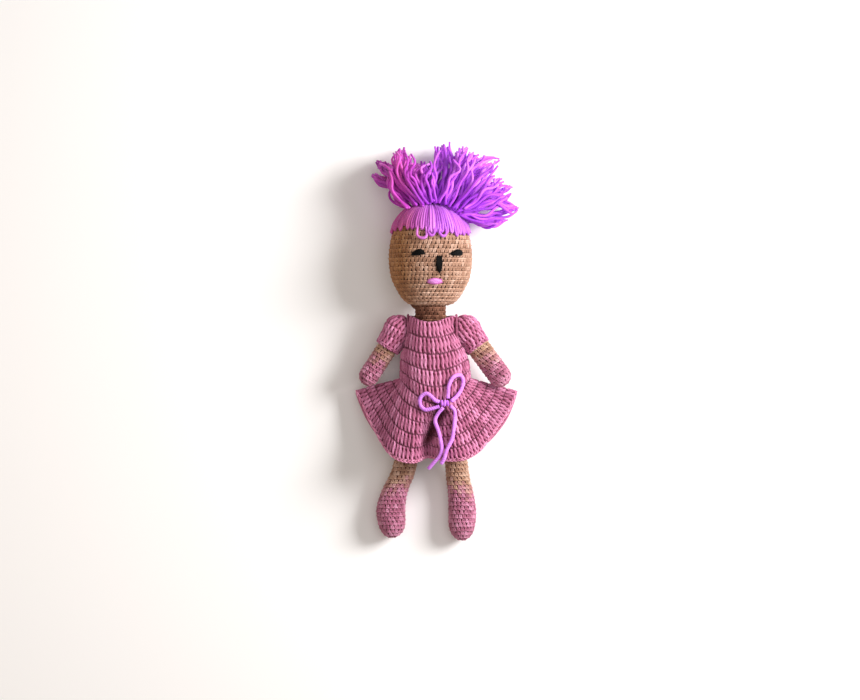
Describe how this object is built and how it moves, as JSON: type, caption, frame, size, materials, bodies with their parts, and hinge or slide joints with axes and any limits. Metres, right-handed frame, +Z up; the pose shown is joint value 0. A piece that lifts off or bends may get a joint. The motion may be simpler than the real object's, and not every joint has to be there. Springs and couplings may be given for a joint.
{
  "type": "amigurumi doll",
  "caption": "Crocheted doll lying on its back: stuffed head, neck, arms and legs in brown and mauve yarn, puff-sleeved pink dress with a flared skirt, lilac yarn bow and violet yarn hair",
  "frame": {"origin": "middle of the flat on the back of the dress, on which the doll lies", "axes": "+Y towards the head, +X to the doll's left side, +Z up out of the face"},
  "size_m": [0.147, 0.3616, 0.0726],
  "materials": {
    "skin": "single-crocheted brown yarn",
    "stuffing": "loose fibre filling",
    "dress": "double-crocheted mauve pink yarn",
    "limb_pink": "single-crocheted mauve pink yarn",
    "hair": "soft satin-like violet yarn",
    "bow": "fuzzy lilac yarn",
    "black": "black satin-stitched yarn",
    "lip": "pink satin-stitched yarn"
  },
  "bodies": {
    "torso": {"torso": "skin", "torso_stuffing": "stuffing", "bodice": "dress", "skirt": "dress", "bow_knot": "bow", "bow_loop_right": "bow", "bow_loop_left": "bow", "bow_tail_right": "bow", "bow_tail_left": "bow"},
    "neck": {"neck": "skin", "neck_stuffing": "stuffing"},
    "head": {"head": "skin", "head_stuffing": "stuffing", "hair_cap": "hair", "hair_tuft_right": "hair", "hair_tuft_middle": "hair", "hair_tuft_left": "hair", "left_eye": "black", "right_eye": "black", "nose": "black", "mouth": "lip"},
    "left_shoulder": {"left_armhole_seam": "dress"},
    "left_arm": {"left_upper_arm": "skin", "left_forearm": "limb_pink", "left_arm_stuffing": "stuffing", "left_sleeve": "dress"},
    "right_shoulder": {"right_armhole_seam": "dress"},
    "right_arm": {"right_upper_arm": "skin", "right_forearm": "limb_pink", "right_arm_stuffing": "stuffing", "right_sleeve": "dress"},
    "left_leg": {"left_leg": "skin", "left_sock": "limb_pink", "left_leg_stuffing": "stuffing"},
    "right_leg": {"right_leg": "skin", "right_sock": "limb_pink", "right_leg_stuffing": "stuffing"}
  },
  "joints": [
    {"name": "neck_nod", "type": "hinge", "parent": "torso", "child": "neck", "pos_m": [-0.005, 0.052, 0.03], "axis": [1, 0, 0], "range_deg": [-20, 15]},
    {"name": "head_turn", "type": "hinge", "parent": "neck", "child": "head", "pos_m": [-0.005, 0.07, 0.03706], "axis": [0, 1, 0], "range_deg": [-60, 60]},
    {"name": "left_arm_swing", "type": "hinge", "parent": "torso", "child": "left_shoulder", "pos_m": [0.0268, 0.0465, 0.027], "axis": [-1, 0, 0], "range_deg": [0, 170]},
    {"name": "left_arm_spread", "type": "hinge", "parent": "left_shoulder", "child": "left_arm", "pos_m": [0.0268, 0.0465, 0.027], "axis": [0, 0, 1], "range_deg": [0, 80]},
    {"name": "right_arm_swing", "type": "hinge", "parent": "torso", "child": "right_shoulder", "pos_m": [-0.0336, 0.0465, 0.027], "axis": [-1, 0, 0], "range_deg": [0, 170]},
    {"name": "right_arm_spread", "type": "hinge", "parent": "right_shoulder", "child": "right_arm", "pos_m": [-0.0336, 0.0465, 0.027], "axis": [0, 0, -1], "range_deg": [0, 80]},
    {"name": "left_leg_swing", "type": "hinge", "parent": "torso", "child": "left_leg", "pos_m": [0.0134, -0.035, 0.024], "axis": [-1, 0, 0], "range_deg": [0, 30]},
    {"name": "right_leg_swing", "type": "hinge", "parent": "torso", "child": "right_leg", "pos_m": [-0.0154, -0.035, 0.024], "axis": [-1, 0, 0], "range_deg": [0, 30]}
  ]
}
